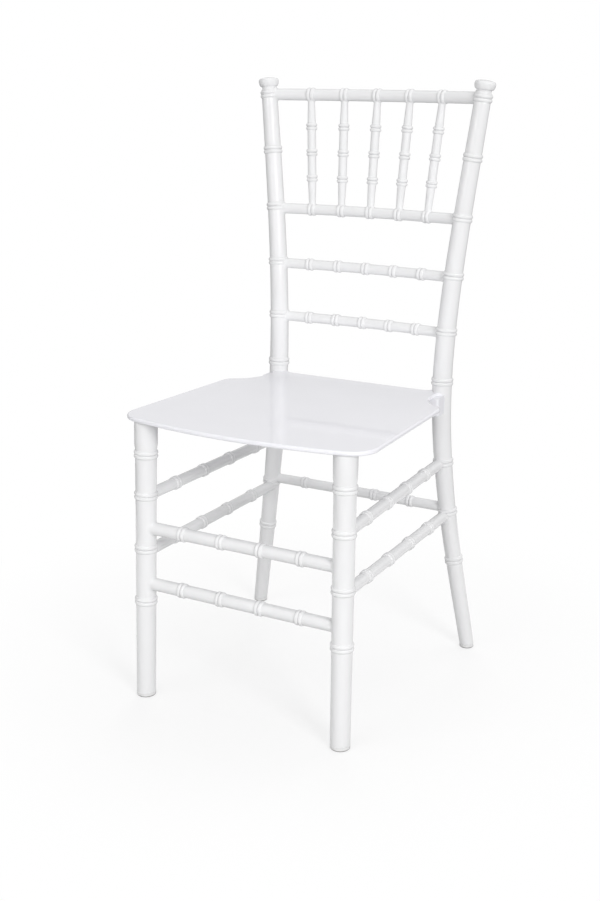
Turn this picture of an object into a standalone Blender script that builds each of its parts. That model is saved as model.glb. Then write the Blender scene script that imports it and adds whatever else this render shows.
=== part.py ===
# Ballroom chair of the bamboo-look kind: turned legs, posts, rails and spindles round a thin moulded seat.
# Frame: metres, +Z up, the sitter faces -Y, origin on the floor at the middle of the chair.

import math

import bmesh
import bpy
from mathutils import Vector

MM = 0.001
UP = Vector((0.0, 0.0, 1.0))
ACROSS = Vector((1.0, 0.0, 0.0))
BACKWARD = Vector((0.0, 1.0, 0.0))
SIDES = {"left": -1, "right": 1}

# Fits
CLEARANCE = 0.3 * MM            # gap left between a piece and the socket or face that takes it
TENON_BITE = 3.5 * MM           # how far a plain end goes in beyond the point where it is fully covered
REAR_BITE = 0.4 * MM            # shallower, where side and rear stretchers meet in one post
STRAIGHT_END = 24.0 * MM        # length of a bowed bar, from its host's axis, that is kept straight
SOCKET_REACH = 40.0 * MM        # length of a socket's cutter, from the tip outward

# Rear posts: one long curve through foot, waist and top; a lean is the travel for each unit of height
POST_FOOT_SPREAD = 203.5 * MM    # half spacing of the posts
POST_FOOT_BACK = 187.3 * MM      # distance behind the origin
POST_WAIST_SPREAD = 150.8 * MM
POST_WAIST_BACK = 169.9 * MM
POST_TOP_SPREAD = 186.8 * MM
POST_TOP_BACK = 203.5 * MM
POST_FOOT_LEAN = Vector((-0.155, -0.085, 1.0))
POST_WAIST_LEAN = Vector((0.02, 0.072, 1.0))
POST_TOP_LEAN = Vector((0.112, 0.075, 1.0))
POST_FOOT_RADIUS = 11.8 * MM
POST_SEAT_RADIUS = 15.6 * MM
POST_TOP_RADIUS = 12.8 * MM

# Front legs, straight and leaning back a little
LEG_FOOT_SPREAD = 171.0 * MM
LEG_FOOT_FRONT = 217.2 * MM
LEG_TOP_SPREAD = 166.3 * MM
LEG_TOP_FRONT = 199.2 * MM
LEG_FOOT_RADIUS = 15.0 * MM
LEG_RADIUS = 16.2 * MM
LEG_CAPITAL_RADIUS = 17.4 * MM   # thicker stretch between the top ring and the seat
LEG_SHOULDER = 9.0 * MM          # length of the taper up to that stretch

# Heights, each one measured up from the one before
LOW_RING_HEIGHT = 157.5 * MM
LOW_RING_TO_SIDE_LOWER = 77.5 * MM
SIDE_LOWER_TO_UPPER = 89.0 * MM
SIDE_UPPER_TO_LEG_RING = 66.0 * MM
LOW_RING_TO_FRONT_LOWER = 28.2 * MM
FRONT_LOWER_TO_UPPER = 89.3 * MM
SIDE_LOWER_TO_REAR = 12.5 * MM
SEAT_TO_LOWER_RAIL = 90.8 * MM
LOWER_TO_MID_RAIL = 87.9 * MM
MID_TO_SPINDLE_RAIL = 89.5 * MM
SPINDLE_TO_TOP_RAIL = 182.1 * MM
SEAT_TO_WAIST_RING = 15.9 * MM
SEAT_TO_POST_WAIST = 44.3 * MM
SIDE_LOWER_TO_RING = 7.0 * MM    # a ring on a post or leg, above the bar that meets it there
SIDE_UPPER_TO_RING = 2.0 * MM
RAIL_TO_RING = 3.0 * MM

# Seat
SEAT_HEIGHT = 445.7 * MM         # top of the seat at the middle of the chair
SEAT_TILT = math.radians(0.75)   # falls towards the back
SEAT_THICKNESS = 6.8 * MM
SEAT_FRONT_WIDTH = 411.0 * MM
SEAT_REAR_WIDTH = 388.0 * MM
SEAT_FRONT = 236.7 * MM          # front edge at the middle, ahead of the origin
SEAT_FRONT_EDGE_RADIUS = 870.0 * MM
SEAT_FRONT_CORNER_RADIUS = 42.0 * MM
SEAT_REAR_CORNER_RADIUS = 22.0 * MM
SEAT_EDGE_ROUNDING = 2.9 * MM
SEAT_REAR_INSET = 6.7 * MM       # rear edge stands this far ahead of the post axes
SCOOP_RADIUS = 60.0 * MM         # hollow cut from each rear corner towards its post
SCOOP_AHEAD_OF_POST = 40.0 * MM
OUTER_FLARE_RADIUS = 14.0 * MM
OUTER_FLARE_SWEEP = 60.0         # degrees
INNER_FLARE_RADIUS = 29.0 * MM
INNER_FLARE_SWEEP = 49.0         # degrees
SEAT_OUTLINE_TOLERANCE = 0.2 * MM
LUG_WIDTH = 20.0 * MM
LUG_DEPTH = 22.0 * MM
LUG_HEIGHT = 26.0 * MM
LUG_CORNER_RADIUS = 4.0 * MM
LUG_TO_POST_JOINT = 5.0 * MM     # straight stretch of post kept below the lug
SEAT_PEG_RADIUS = 9.0 * MM
SEAT_PEG_LENGTH = 22.0 * MM

# Cross pieces
TOP_RAIL_RADIUS = 9.2 * MM
SPINDLE_RAIL_RADIUS = 8.4 * MM
PLAIN_RAIL_RADIUS = 8.0 * MM
TOP_RAIL_BOW = 22.0 * MM         # how far the middle of a rail stands behind its ends
SPINDLE_RAIL_BOW = 16.0 * MM
MID_RAIL_BOW = 11.0 * MM
LOWER_RAIL_BOW = 9.0 * MM
FRONT_STRETCHER_RADIUS = 9.7 * MM
SIDE_STRETCHER_RADIUS = 8.8 * MM
SIDE_STRETCHER_TOE_IN = 4.0 * MM # rear end stands this far inside the post's axis
REAR_STRETCHER_RADIUS = 8.1 * MM
SPINDLE_RADIUS = 6.9 * MM
SPINDLE_END_RADIUS = 5.5 * MM
SPINDLE_BITE = 2.0 * MM
SPINDLE_COUNT = 5
RAIL_RING_PITCH = 0.31           # ring spacing on a rail, in half spans of the rail
PLAIN_RAIL_RING_PITCH = 0.32     # the same on the two rails below the spindles
STRETCHER_RINGS = 4
SPINDLE_RING_STEP = 0.225        # ring spacing on a spindle, in lengths between the rails

# Double rings: two beads with a groove between them
POST_RING_HEIGHT = 12.0 * MM
POST_RING_PROUD = 2.0 * MM
RAIL_RING_HEIGHT = 12.5 * MM
RAIL_RING_PROUD = 2.0 * MM
STRETCHER_RING_HEIGHT = 12.0 * MM
STRETCHER_RING_PROUD = 1.7 * MM
SPINDLE_RING_HEIGHT = 11.0 * MM
SPINDLE_RING_PROUD = 2.2 * MM
GROOVE_SHARE = 0.3               # groove radius, as a share of the bead's height above the shaft

# Finial on each post, heights above the top ring's middle
FINIAL_RADIUS = 16.3 * MM
FINIAL_NECK_RADIUS = 11.4 * MM
FINIAL_NECK_HEIGHT = 9.5 * MM
FINIAL_BELLY_HEIGHT = 19.8 * MM
FINIAL_HEIGHT = 26.8 * MM
FINIAL_DOME_RADIUS = 10.0 * MM
FINIAL_RIM_INSET = 1.6 * MM
FINIAL_RIM_RISE = 2.5 * MM

# Foot glides and seat bolts
GLIDE_HEIGHT = 6.0 * MM
GLIDE_ROUNDING = 1.5 * MM
GLIDE_PEG_RADIUS = 5.5 * MM
GLIDE_PEG_LENGTH = 11.0 * MM
BOLT_RADIUS = 3.0 * MM
BOLT_HEAD_RADIUS = 5.2 * MM
BOLT_HEAD_HEIGHT = 4.0 * MM
BOLT_DROP = 13.0 * MM            # bolt axis below the underside of the seat
BOLT_GRIP = 15.0 * MM            # length of bolt inside the seat's lug

# Facets round each kind of turned piece
POST_FACETS = 14
LEG_FACETS = 14
BAR_FACETS = 10
SPINDLE_FACETS = 8
PEG_FACETS = 12
SHARP_EDGE = math.radians(45)    # edges that turn more than this are shaded sharp
DIRECTION_STEP = 1.0 * MM        # half step used to find a curve's direction

# Heights that follow from the ones above
SIDE_LOWER = LOW_RING_HEIGHT + LOW_RING_TO_SIDE_LOWER
SIDE_UPPER = SIDE_LOWER + SIDE_LOWER_TO_UPPER
LEG_RING = SIDE_UPPER + SIDE_UPPER_TO_LEG_RING
LOW_RINGS = [LOW_RING_HEIGHT, SIDE_LOWER + SIDE_LOWER_TO_RING, SIDE_UPPER + SIDE_UPPER_TO_RING]
FRONT_LOWER = LOW_RING_HEIGHT + LOW_RING_TO_FRONT_LOWER
FRONT_UPPER = FRONT_LOWER + FRONT_LOWER_TO_UPPER
REAR_STRETCHER = SIDE_LOWER + SIDE_LOWER_TO_REAR
LOWER_RAIL = SEAT_HEIGHT + SEAT_TO_LOWER_RAIL
MID_RAIL = LOWER_RAIL + LOWER_TO_MID_RAIL
SPINDLE_RAIL = MID_RAIL + MID_TO_SPINDLE_RAIL
TOP_RAIL = SPINDLE_RAIL + SPINDLE_TO_TOP_RAIL
POST_FOOT = Vector((POST_FOOT_SPREAD, POST_FOOT_BACK, 0.0))
POST_WAIST = Vector((POST_WAIST_SPREAD, POST_WAIST_BACK, SEAT_HEIGHT + SEAT_TO_POST_WAIST))
POST_TOP = Vector((POST_TOP_SPREAD, POST_TOP_BACK, TOP_RAIL))


# Scene and materials

def clear_scene():
    for item in list(bpy.data.objects):
        bpy.data.objects.remove(item, do_unlink=True)


def principled(name, colour, roughness, metallic=0.0):
    material = bpy.data.materials.new(name)
    material.use_nodes = True
    shader = material.node_tree.nodes["Principled BSDF"]
    shader.inputs["Base Color"].default_value = (*colour, 1.0)
    shader.inputs["Roughness"].default_value = roughness
    shader.inputs["Metallic"].default_value = metallic
    return material


def add_object(name, mesh, material=None):
    item = bpy.data.objects.new(name, mesh)
    bpy.context.scene.collection.objects.link(item)
    if material:
        mesh.materials.append(material)
        item.parent = CHAIR
    else:
        item.hide_render = True
        item.display_type = "WIRE"
    return item


def cut(host, tool, operation="DIFFERENCE"):
    step = host.modifiers.new(tool.name, "BOOLEAN")
    step.operation = operation
    step.object = tool
    step.solver = "EXACT"


# Turned pieces: circles of given radius lofted along an axis, with flat ends

def section(centre, axis, radius, facets, reference):
    across = (reference - axis * reference.dot(axis)).normalized()
    beside = axis.cross(across)
    turns = (2.0 * math.pi * (k + 0.5) / facets for k in range(facets))
    return [centre + radius * (math.cos(t) * across + math.sin(t) * beside) for t in turns]


def turned(name, stations, facets, material=None, reference=ACROSS):
    """Loft through stations, each a (centre, axis, radius), listed along the axis."""
    origin = stations[0][0]
    body = bmesh.new()
    rings = []
    for centre, axis, radius in stations:
        points = section(centre - origin, axis.normalized(), radius, facets, reference)
        rings.append([body.verts.new(point) for point in points])
    for low, high in zip(rings, rings[1:]):
        for k in range(facets):
            n = (k + 1) % facets
            body.faces.new((low[k], low[n], high[n], high[k]))
    body.faces.new(reversed(rings[0]))
    body.faces.new(rings[-1])
    mesh = bpy.data.meshes.new(name)
    body.to_mesh(mesh)
    body.free()
    mesh.shade_smooth()
    mesh.set_sharp_from_angle(angle=SHARP_EDGE)
    item = add_object(name, mesh, material)
    item.location = origin
    return item


def double_ring(middle, radius, height, proud):
    """Profile points of two beads with a groove between them."""
    crest = radius + proud
    groove = radius + proud * GROOVE_SHARE
    half = height / 2
    return [(middle - half, radius), (middle - half / 2, crest), (middle, groove),
            (middle + half / 2, crest), (middle + half, radius)]


def covered_depth(host_radius, radius, bite):
    """Distance from the host's axis at which a round end sits, fully covered by the host."""
    return math.sqrt(max(host_radius ** 2 - radius ** 2, 0.0)) - bite


def socket(host, tip, inward, radius, facets, reference):
    """Cut a blind hole for a plain end whose tip lies at tip and points inward."""
    mouth = tip - inward * SOCKET_REACH
    bottom = tip + inward * CLEARANCE
    stations = [(mouth, inward, radius + CLEARANCE), (bottom, inward, radius + CLEARANCE)]
    cut(host, turned(f"{host.name}.socket", stations, facets, reference=reference))


# Rear posts and front legs

def mirrored(point, side):
    return Vector((side * point.x, point.y, point.z))


def curve_point(height, low, low_lean, high, high_lean):
    """Point at a height on a smooth curve that leaves low and reaches high with the given leans."""
    rise = high.z - low.z
    share = (height - low.z) / rise
    rest = 1 - share
    near_low = low + low_lean * (rise / 3)
    near_high = high - high_lean * (rise / 3)
    ends = low * rest ** 3 + high * share ** 3
    return ends + near_low * (3 * rest ** 2 * share) + near_high * (3 * rest * share ** 2)


def post_axis(side, height):
    if height < POST_WAIST.z:
        point = curve_point(height, POST_FOOT, POST_FOOT_LEAN, POST_WAIST, POST_WAIST_LEAN)
    else:
        point = curve_point(height, POST_WAIST, POST_WAIST_LEAN, POST_TOP, POST_TOP_LEAN)
    return mirrored(point, side)


def post_direction(side, height):
    return (post_axis(side, height + DIRECTION_STEP) - post_axis(side, height - DIRECTION_STEP)).normalized()


def post_radius(height):
    if height < SEAT_HEIGHT:
        return POST_FOOT_RADIUS + (POST_SEAT_RADIUS - POST_FOOT_RADIUS) * height / SEAT_HEIGHT
    share = (height - SEAT_HEIGHT) / (POST_TOP.z - SEAT_HEIGHT)
    return POST_SEAT_RADIUS + (POST_TOP_RADIUS - POST_SEAT_RADIUS) * share


def post_station(side, height, extra=0.0):
    return post_axis(side, height), post_direction(side, height), post_radius(height) + extra


def seat_top(back):
    return SEAT_HEIGHT - back * math.tan(SEAT_TILT)


def seat_underside(back):
    return seat_top(back) - SEAT_THICKNESS / math.cos(SEAT_TILT)


def waist_ring_height():
    return seat_top(POST_WAIST.y) + SEAT_TO_WAIST_RING


def lug_bottom():
    return seat_underside(POST_WAIST.y) - LUG_HEIGHT


def seat_joint():
    """Heights between which a post is straight, below the lug and above the seat."""
    return lug_bottom() - LUG_TO_POST_JOINT, waist_ring_height() - POST_RING_HEIGHT / 2


def post_rings():
    upper_middle = (SPINDLE_RAIL + TOP_RAIL) / 2
    beside_rails = [height + RAIL_TO_RING for height in (LOWER_RAIL, MID_RAIL, SPINDLE_RAIL, upper_middle)]
    return LOW_RINGS + [waist_ring_height()] + beside_rails + [TOP_RAIL]


def finial_profile():
    rim = FINIAL_RADIUS - FINIAL_RIM_INSET
    return [(FINIAL_NECK_HEIGHT, FINIAL_NECK_RADIUS), (FINIAL_NECK_HEIGHT + FINIAL_RIM_RISE, rim),
            (FINIAL_BELLY_HEIGHT, FINIAL_RADIUS), (FINIAL_HEIGHT - FINIAL_RIM_RISE, rim),
            (FINIAL_HEIGHT, FINIAL_DOME_RADIUS)]


def build_post(name, side, material):
    foot = GLIDE_HEIGHT + CLEARANCE
    stations = [(post_axis(side, foot), UP, post_radius(foot))]
    joint = seat_joint()[0]
    plain = (LOW_RING_HEIGHT / 2, (SIDE_UPPER + joint) / 2, joint)
    profile = [(height, post_radius(height)) for height in plain]
    for middle in post_rings():
        profile += double_ring(middle, post_radius(middle), POST_RING_HEIGHT, POST_RING_PROUD)
    for height, radius in sorted(profile):
        stations.append((post_axis(side, height), post_direction(side, height), radius))
    top = post_axis(side, TOP_RAIL)
    axis = post_direction(side, TOP_RAIL)
    stations += [(top + axis * rise, axis, radius) for rise, radius in finial_profile()]
    return turned(name, stations, POST_FACETS, material)


def leg_axis(side, height):
    top_height = seat_underside(-LEG_TOP_FRONT)
    foot = Vector((LEG_FOOT_SPREAD, -LEG_FOOT_FRONT, 0.0))
    top = Vector((LEG_TOP_SPREAD, -LEG_TOP_FRONT, top_height))
    return mirrored(foot.lerp(top, height / top_height), side)


def leg_direction(side):
    return (leg_axis(side, LEG_RING) - leg_axis(side, 0.0)).normalized()


def leg_radius(height):
    return LEG_FOOT_RADIUS + (LEG_RADIUS - LEG_FOOT_RADIUS) * height / LEG_RING


def seat_normal():
    return Vector((0.0, math.sin(SEAT_TILT), math.cos(SEAT_TILT)))


def build_leg(name, side, material):
    foot = GLIDE_HEIGHT + CLEARANCE
    axis = leg_direction(side)
    stations = [(leg_axis(side, foot), UP, leg_radius(foot))]
    for middle in LOW_RINGS + [LEG_RING]:
        beads = double_ring(middle, leg_radius(middle), POST_RING_HEIGHT, POST_RING_PROUD)
        stations += [(leg_axis(side, height), axis, radius) for height, radius in beads]
    shoulder = LEG_RING + POST_RING_HEIGHT / 2 + LEG_SHOULDER
    stations.append((leg_axis(side, shoulder), axis, LEG_CAPITAL_RADIUS))
    top = seat_underside(-LEG_TOP_FRONT) - CLEARANCE
    stations.append((leg_axis(side, top), seat_normal(), LEG_CAPITAL_RADIUS))
    return turned(name, stations, LEG_FACETS, material)


# Rails, stretchers and spindles

def bar_path(start, end, bow=0.0):
    """Point and direction at a share of the way along a bar whose middle stands back by bow."""
    span = end - start

    def at(share):
        point = start + span * share + BACKWARD * (4 * bow * share * (1 - share))
        direction = span + BACKWARD * (4 * bow * (1 - 2 * share))
        return point, direction.normalized()

    return at


def join_bar(name, ends, path, radius, ring_shares, ring_height, ring_proud, material):
    """Bar along a path between the axes of two hosts; ends are (host, distance of the tip from its axis)."""
    (host_a, depth_a), (host_b, depth_b) = ends
    point_a, axis_a = path(0.0)
    point_b, axis_b = path(1.0)
    tip_a = point_a + axis_a * depth_a
    tip_b = point_b - axis_b * depth_b
    stations = [(tip_a, axis_a, radius), (point_a + axis_a * STRAIGHT_END, axis_a, radius)]
    for share in ring_shares:
        middle, axis = path(share)
        beads = double_ring(0.0, radius, ring_height, ring_proud)
        stations += [(middle + axis * along, axis, size) for along, size in beads]
    stations += [(point_b - axis_b * STRAIGHT_END, axis_b, radius), (tip_b, axis_b, radius)]
    piece = turned(name, stations, BAR_FACETS, material, UP)
    socket(host_a, tip_a, -axis_a, radius, BAR_FACETS, UP)
    socket(host_b, tip_b, axis_b, radius, BAR_FACETS, UP)
    return piece


def rail_shares(pitch=RAIL_RING_PITCH):
    middle = (SPINDLE_COUNT - 1) / 2
    return [0.5 + pitch / 2 * (k - middle) for k in range(SPINDLE_COUNT)]


def stretcher_shares():
    return [(k + 1) / (STRETCHER_RINGS + 1) for k in range(STRETCHER_RINGS)]


def rail_path(height, bow):
    return bar_path(post_axis(-1, height), post_axis(1, height), bow)


def build_rail(name, posts, height, radius, bow, shares, material):
    depth = covered_depth(post_radius(height), radius, TENON_BITE)
    ends = [(posts[key], depth) for key in SIDES]
    return join_bar(name, ends, rail_path(height, bow), radius, shares,
                    RAIL_RING_HEIGHT, RAIL_RING_PROUD, material)


def build_front_stretcher(name, legs, height, material):
    depth = covered_depth(leg_radius(height), FRONT_STRETCHER_RADIUS, TENON_BITE)
    ends = [(legs[key], depth) for key in SIDES]
    path = bar_path(leg_axis(-1, height), leg_axis(1, height))
    return join_bar(name, ends, path, FRONT_STRETCHER_RADIUS, stretcher_shares(),
                    STRETCHER_RING_HEIGHT, STRETCHER_RING_PROUD, material)


def build_side_stretcher(name, leg, post, side, height, material):
    offset = ACROSS * (side * SIDE_STRETCHER_TOE_IN)
    path = bar_path(leg_axis(side, height), post_axis(side, height) - offset)
    reach = SIDE_STRETCHER_RADIUS + SIDE_STRETCHER_TOE_IN
    ends = [(leg, covered_depth(leg_radius(height), SIDE_STRETCHER_RADIUS, TENON_BITE)),
            (post, covered_depth(post_radius(height), reach, REAR_BITE))]
    return join_bar(name, ends, path, SIDE_STRETCHER_RADIUS, stretcher_shares(),
                    STRETCHER_RING_HEIGHT, STRETCHER_RING_PROUD, material)


def build_rear_stretcher(name, posts, material):
    depth = covered_depth(post_radius(REAR_STRETCHER), REAR_STRETCHER_RADIUS, REAR_BITE)
    ends = [(posts[key], depth) for key in SIDES]
    path = bar_path(post_axis(-1, REAR_STRETCHER), post_axis(1, REAR_STRETCHER))
    return join_bar(name, ends, path, REAR_STRETCHER_RADIUS, stretcher_shares(),
                    STRETCHER_RING_HEIGHT, STRETCHER_RING_PROUD, material)


def build_spindle(name, share, top_rail, spindle_rail, material):
    low = rail_path(SPINDLE_RAIL, SPINDLE_RAIL_BOW)(share)[0]
    high = rail_path(TOP_RAIL, TOP_RAIL_BOW)(share)[0]
    span = high - low
    axis = span.normalized()
    start = low + axis * covered_depth(SPINDLE_RAIL_RADIUS, SPINDLE_END_RADIUS, SPINDLE_BITE)
    end = high - axis * covered_depth(TOP_RAIL_RADIUS, SPINDLE_END_RADIUS, SPINDLE_BITE)
    lead = (start - low).length
    profile = [(0.0, SPINDLE_END_RADIUS), (SPINDLE_RAIL_RADIUS, SPINDLE_END_RADIUS)]
    for step in (-1, 0, 1):
        middle = (0.5 + step * SPINDLE_RING_STEP) * span.length - lead
        profile += double_ring(middle, SPINDLE_RADIUS, SPINDLE_RING_HEIGHT, SPINDLE_RING_PROUD)
    length = (end - start).length
    profile += [(length - TOP_RAIL_RADIUS, SPINDLE_END_RADIUS), (length, SPINDLE_END_RADIUS)]
    stations = [(start + axis * distance, axis, radius) for distance, radius in profile]
    piece = turned(name, stations, SPINDLE_FACETS, material)
    socket(spindle_rail, start, -axis, SPINDLE_END_RADIUS, SPINDLE_FACETS, ACROSS)
    socket(top_rail, end, axis, SPINDLE_END_RADIUS, SPINDLE_FACETS, ACROSS)
    return piece


# Seat

def arc(centre, radius, start, end):
    """Points on an arc, angles in degrees."""
    widest = math.degrees(2 * math.acos(1 - SEAT_OUTLINE_TOLERANCE / radius))
    steps = math.ceil(abs(end - start) / widest)
    points = []
    for k in range(steps + 1):
        angle = math.radians(start + (end - start) * k / steps)
        points.append(Vector((centre[0] + radius * math.cos(angle), centre[1] + radius * math.sin(angle))))
    return points


def bearing(centre, point):
    return math.degrees(math.atan2(point[1] - centre[1], point[0] - centre[0]))


def seat_half_outline():
    """Right half of the seat's plan, from the middle of the front edge to the middle of the rear edge."""
    waist = seat_top(POST_WAIST.y) - SEAT_THICKNESS / 2
    post = post_axis(1, waist)
    sleeve = post_radius(waist) + CLEARANCE
    bow = (0.0, SEAT_FRONT_EDGE_RADIUS - SEAT_FRONT)
    corner_x = SEAT_FRONT_WIDTH / 2 - SEAT_FRONT_CORNER_RADIUS
    reach = SEAT_FRONT_EDGE_RADIUS - SEAT_FRONT_CORNER_RADIUS
    corner = (corner_x, bow[1] - math.sqrt(reach ** 2 - corner_x ** 2))
    turn = bearing(bow, corner)
    scoop = (post.x + SCOOP_RADIUS, post.y - SCOOP_AHEAD_OF_POST)
    rear_x = SEAT_REAR_WIDTH / 2 - SEAT_REAR_CORNER_RADIUS
    gap = SCOOP_RADIUS + SEAT_REAR_CORNER_RADIUS
    rear = (rear_x, scoop[1] - math.sqrt(gap ** 2 - (scoop[0] - rear_x) ** 2))
    meet = bearing(rear, scoop)
    between = math.hypot(rear[0] - corner[0], rear[1] - corner[1])
    narrowing = (SEAT_FRONT_CORNER_RADIUS - SEAT_REAR_CORNER_RADIUS) / between
    side = bearing(corner, rear) - math.degrees(math.acos(narrowing))
    points = arc(bow, SEAT_FRONT_EDGE_RADIUS, -90.0, turn)
    points += arc(corner, SEAT_FRONT_CORNER_RADIUS, turn, side)[1:]
    points += arc(rear, SEAT_REAR_CORNER_RADIUS, side, meet)
    points += arc(scoop, SCOOP_RADIUS, meet - 180.0, -180.0)[1:]
    sweep = math.radians(OUTER_FLARE_SWEEP)
    aside = OUTER_FLARE_RADIUS * (1 - math.cos(sweep))
    lift = math.sqrt(sleeve ** 2 - aside ** 2) + OUTER_FLARE_RADIUS * math.sin(sweep)
    flare = (post.x + OUTER_FLARE_RADIUS, post.y - lift)
    points += arc(flare, OUTER_FLARE_RADIUS, 180.0, 180.0 - OUTER_FLARE_SWEEP)
    points.append(post.xy)
    edge = post.y - SEAT_REAR_INSET
    aside = INNER_FLARE_RADIUS * math.sin(math.radians(INNER_FLARE_SWEEP))
    inner = (post.x - sleeve - aside, edge + INNER_FLARE_RADIUS)
    points += arc(inner, INNER_FLARE_RADIUS, INNER_FLARE_SWEEP - 90.0, -90.0)
    return points


def seat_plate(name, material):
    half = seat_half_outline()
    mirror = [Vector((-point.x, point.y)) for point in reversed(half) if point.x > CLEARANCE]
    outline = half + mirror
    body = bmesh.new()
    low = [body.verts.new((point.x, point.y, -SEAT_THICKNESS)) for point in outline]
    base = body.faces.new(reversed(low))
    body.normal_update()
    lifted = bmesh.ops.extrude_face_region(body, geom=[base], use_keep_orig=True)
    tops = [item for item in lifted["geom"] if isinstance(item, bmesh.types.BMVert)]
    bmesh.ops.translate(body, vec=UP * SEAT_THICKNESS, verts=tops)
    bmesh.ops.recalc_face_normals(body, faces=body.faces)
    rim = [edge for edge in body.edges if abs(edge.verts[0].co.z - edge.verts[1].co.z) < CLEARANCE]
    bmesh.ops.bevel(body, geom=rim, offset=SEAT_EDGE_ROUNDING, segments=2, profile=0.5, affect="EDGES")
    mesh = bpy.data.meshes.new(name)
    body.to_mesh(mesh)
    body.free()
    mesh.shade_smooth()
    mesh.set_sharp_from_angle(angle=SHARP_EDGE)
    seat = add_object(name, mesh, material)
    seat.location = UP * SEAT_HEIGHT
    seat.rotation_euler.x = -SEAT_TILT
    return seat


def lug_block(name, side):
    """Rounded block under the seat, ahead of a rear post and reaching into it."""
    top = seat_top(POST_WAIST.y) - SEAT_THICKNESS / 2
    bottom = lug_bottom()
    post = post_axis(side, (top + bottom) / 2)
    front = post.y - post_radius(top) - LUG_DEPTH
    body = bmesh.new()
    bmesh.ops.create_cube(body, size=1.0)
    height = top - bottom
    depth = post.y - front
    bmesh.ops.scale(body, vec=(LUG_WIDTH, depth, height), verts=body.verts)
    upright = [edge for edge in body.edges
               if abs(edge.verts[0].co.z - edge.verts[1].co.z) > height / 2 and edge.verts[0].co.y < 0.0]
    bmesh.ops.bevel(body, geom=upright, offset=LUG_CORNER_RADIUS, segments=3, profile=0.5, affect="EDGES")
    mesh = bpy.data.meshes.new(name)
    body.to_mesh(mesh)
    body.free()
    lug = add_object(name, mesh)
    lug.location = (post.x, (post.y + front) / 2, (top + bottom) / 2)
    return lug


def seat_peg_stations(side, extra):
    """Peg along a front leg's axis, or its hole when extra is the clearance."""
    underside = seat_underside(-LEG_TOP_FRONT)
    axis = leg_direction(side)
    bottom = leg_axis(side, underside - SEAT_PEG_LENGTH - extra)
    top = leg_axis(side, underside + SEAT_THICKNESS / 2)
    return [(bottom, axis, SEAT_PEG_RADIUS + extra), (top, axis, SEAT_PEG_RADIUS + extra)]


def bolt_line(side):
    """Head seat, direction and tip of a seat bolt."""
    height = seat_underside(POST_WAIST.y) - BOLT_DROP
    post = post_axis(side, height)
    forward = -BACKWARD
    radius = post_radius(height)
    seat_of_head = post - forward * (radius - BOLT_HEAD_HEIGHT)
    tip = post + forward * (radius + BOLT_GRIP)
    return seat_of_head, forward, tip


def build_seat(posts, legs, material):
    seat = seat_plate("seat", material)
    for key, side in SIDES.items():
        cut(seat, lug_block(f"seat.lug_{key}", side), "UNION")
        cut(seat, turned(f"seat.peg_{key}", seat_peg_stations(side, 0.0), PEG_FACETS), "UNION")
        cut(legs[key], turned(f"leg.peg_hole_{key}", seat_peg_stations(side, CLEARANCE), PEG_FACETS))
        notch = [post_station(side, height, CLEARANCE) for height in seat_joint()]
        cut(seat, turned(f"seat.post_notch_{key}", notch, POST_FACETS))
    return seat


def build_bolt(name, side, post, seat, material):
    head, forward, tip = bolt_line(side)
    back = head - forward * BOLT_HEAD_HEIGHT
    shank = [(back, forward, BOLT_HEAD_RADIUS), (head, forward, BOLT_HEAD_RADIUS),
             (head, forward, BOLT_RADIUS), (tip, forward, BOLT_RADIUS)]
    bolt = turned(name, shank, PEG_FACETS, material)
    outside = back - forward * SOCKET_REACH
    floor = head + forward * CLEARANCE
    end = tip + forward * CLEARANCE
    wide = BOLT_HEAD_RADIUS + CLEARANCE
    narrow = BOLT_RADIUS + CLEARANCE
    counterbore = [(outside, forward, wide), (floor, forward, wide),
                   (floor, forward, narrow), (end, forward, narrow)]
    hole = turned(f"{name}.hole", counterbore, PEG_FACETS)
    cut(post, hole)
    cut(seat, hole)
    return bolt


# Foot glides

def build_glide(name, host, centre, radius, material):
    stations = [(0.0, radius - GLIDE_ROUNDING), (GLIDE_ROUNDING, radius), (GLIDE_HEIGHT, radius),
                (GLIDE_HEIGHT, GLIDE_PEG_RADIUS), (GLIDE_HEIGHT + GLIDE_PEG_LENGTH, GLIDE_PEG_RADIUS)]
    floor = Vector((centre.x, centre.y, 0.0))
    glide = turned(name, [(floor + UP * rise, UP, size) for rise, size in stations], PEG_FACETS, material)
    hole = [(floor, UP, GLIDE_PEG_RADIUS + CLEARANCE),
            (floor + UP * (GLIDE_HEIGHT + GLIDE_PEG_LENGTH + CLEARANCE), UP, GLIDE_PEG_RADIUS + CLEARANCE)]
    cut(host, turned(f"{name}.hole", hole, PEG_FACETS))
    return glide


# Assembly

clear_scene()
CHAIR = bpy.data.objects.new("chair", None)
bpy.context.scene.collection.objects.link(CHAIR)

WHITE = (0.86, 0.86, 0.88)
frame_white = principled("frame_white", WHITE, 0.18)
seat_white = principled("seat_white", WHITE, 0.10)
glide_grey = principled("glide_plastic", (0.72, 0.72, 0.72), 0.5)
bolt_steel = principled("bolt_steel", (0.62, 0.62, 0.64), 0.3, 1.0)

rear_posts = {key: build_post(f"rear_post_{key}", side, frame_white) for key, side in SIDES.items()}
front_legs = {key: build_leg(f"front_leg_{key}", side, frame_white) for key, side in SIDES.items()}

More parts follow.
